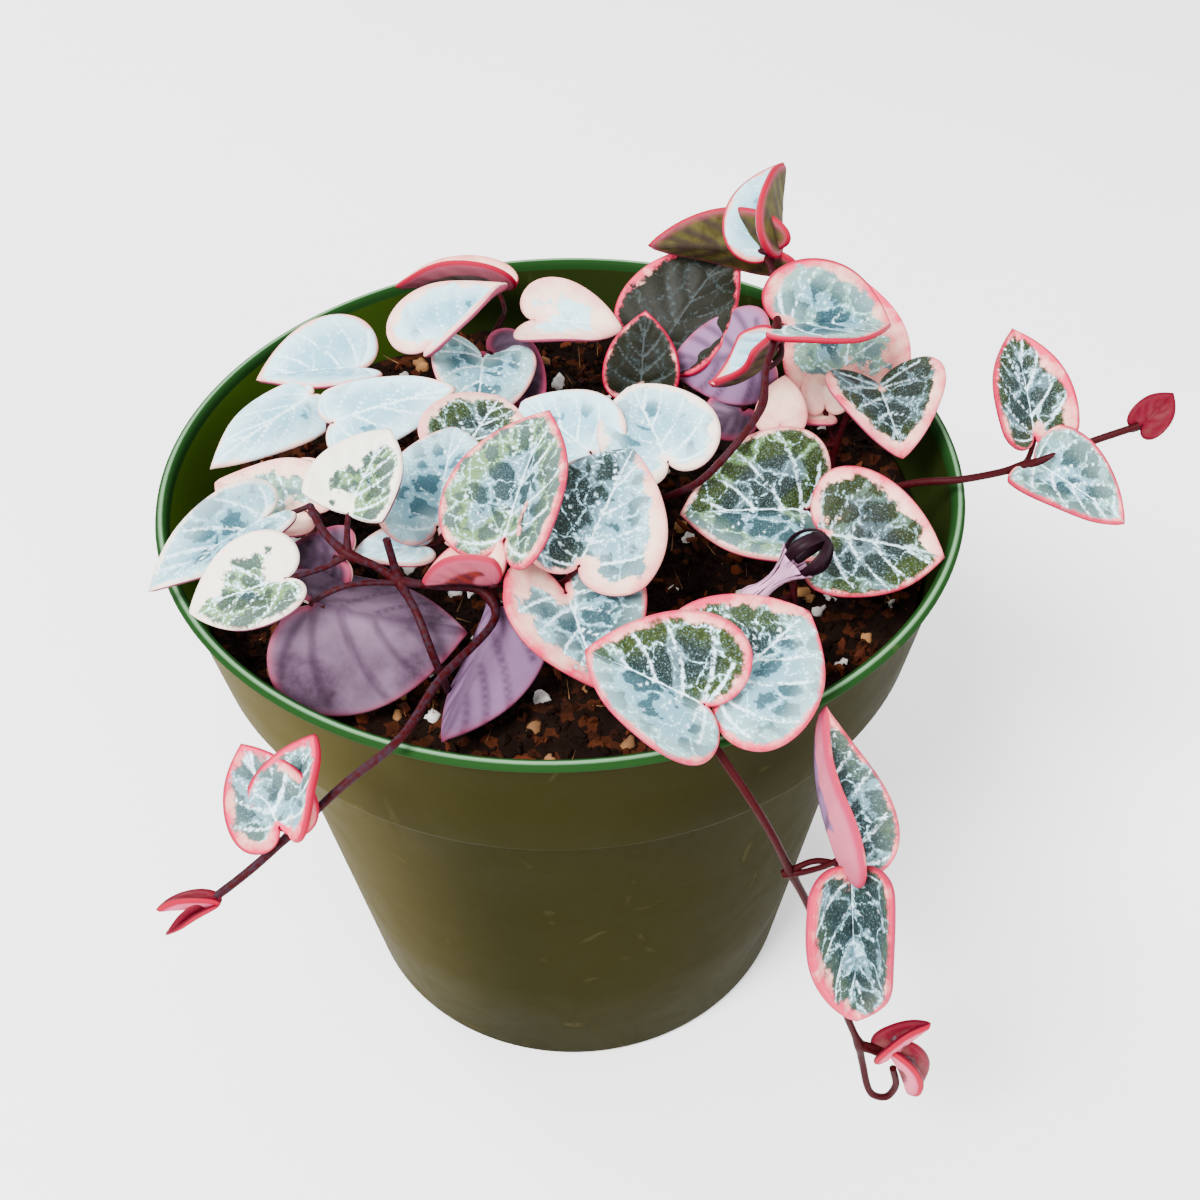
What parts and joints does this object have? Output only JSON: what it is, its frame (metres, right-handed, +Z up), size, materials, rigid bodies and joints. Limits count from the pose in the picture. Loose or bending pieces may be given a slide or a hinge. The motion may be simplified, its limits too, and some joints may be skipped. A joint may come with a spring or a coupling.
{
  "type": "potted trailing plant",
  "caption": "Potted trailing plant: heart-shaped marbled leaves with pink edges on thin stems, over the rim of a plain nursery pot",
  "frame": {"origin": "centre of the pot's flat underside", "axes": "+Z up, -Y to the front, where two stems hang over the rim"},
  "size_m": [0.136, 0.1274, 0.1247],
  "materials": {
    "pot_plastic": "satin moulded olive-green plastic",
    "potting_mix": "dark crumbly peat with perlite and bark",
    "plant": "fleshy leaves and thin stems, waxy",
    "petals": "soft pale pink tube with dark maroon petals"
  },
  "bodies": {
    "root": {"pot": "pot_plastic", "soil": "potting_mix", "stem_left": "plant", "stem_trailer": "plant", "stem_right_runner": "plant", "stem_centre": "plant", "stem_middle": "plant", "stem_back_left": "plant", "stem_back": "plant", "stem_arch": "plant", "stem_back_right": "plant", "stem_right_rim": "plant", "stem_right_front": "plant", "flower": "petals"}
  },
  "joints": []
}
